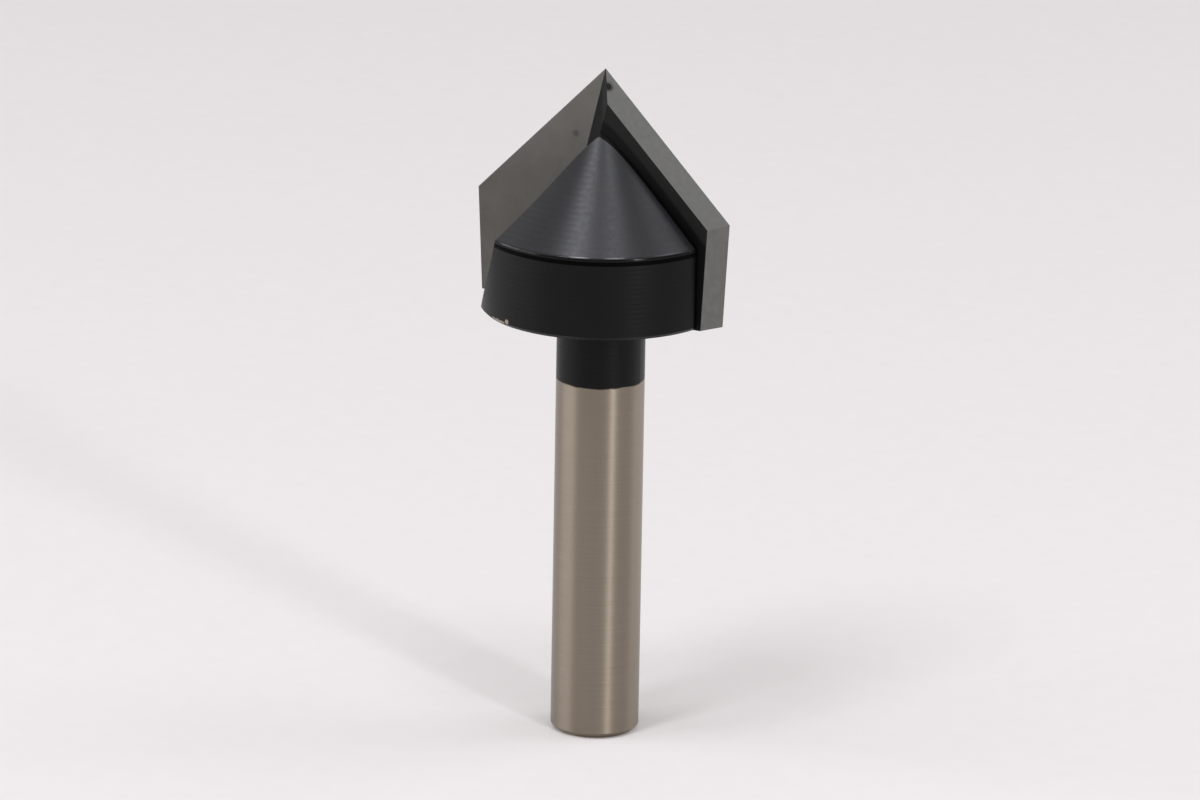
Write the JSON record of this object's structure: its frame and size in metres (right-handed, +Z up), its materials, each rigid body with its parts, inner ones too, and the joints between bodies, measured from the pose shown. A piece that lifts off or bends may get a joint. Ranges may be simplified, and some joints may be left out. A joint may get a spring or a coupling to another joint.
{
  "type": "v groove router bit",
  "caption": "V groove router bit with a round shank, a black painted steel head and two brazed carbide tips for cutting 90 degree grooves.",
  "frame": {"origin": "centre of the flat end face of the shank", "axes": "+Z up the axis of the bit to its point; +X towards the corner of tip A, whose cutting face looks along +Y"},
  "size_m": [0.0254, 0.0218, 0.0617],
  "materials": {
    "body_steel": "semi-gloss black paint over the head and the first 6.5 mm of the shank below it; the rest of the shank is bare satin ground steel",
    "carbide": "matte grey tungsten carbide, finely ground along the cutting edges"
  },
  "bodies": {
    "root": {"cutter_body": "body_steel", "carbide_tip_a": "carbide", "carbide_tip_b": "carbide"}
  },
  "joints": []
}
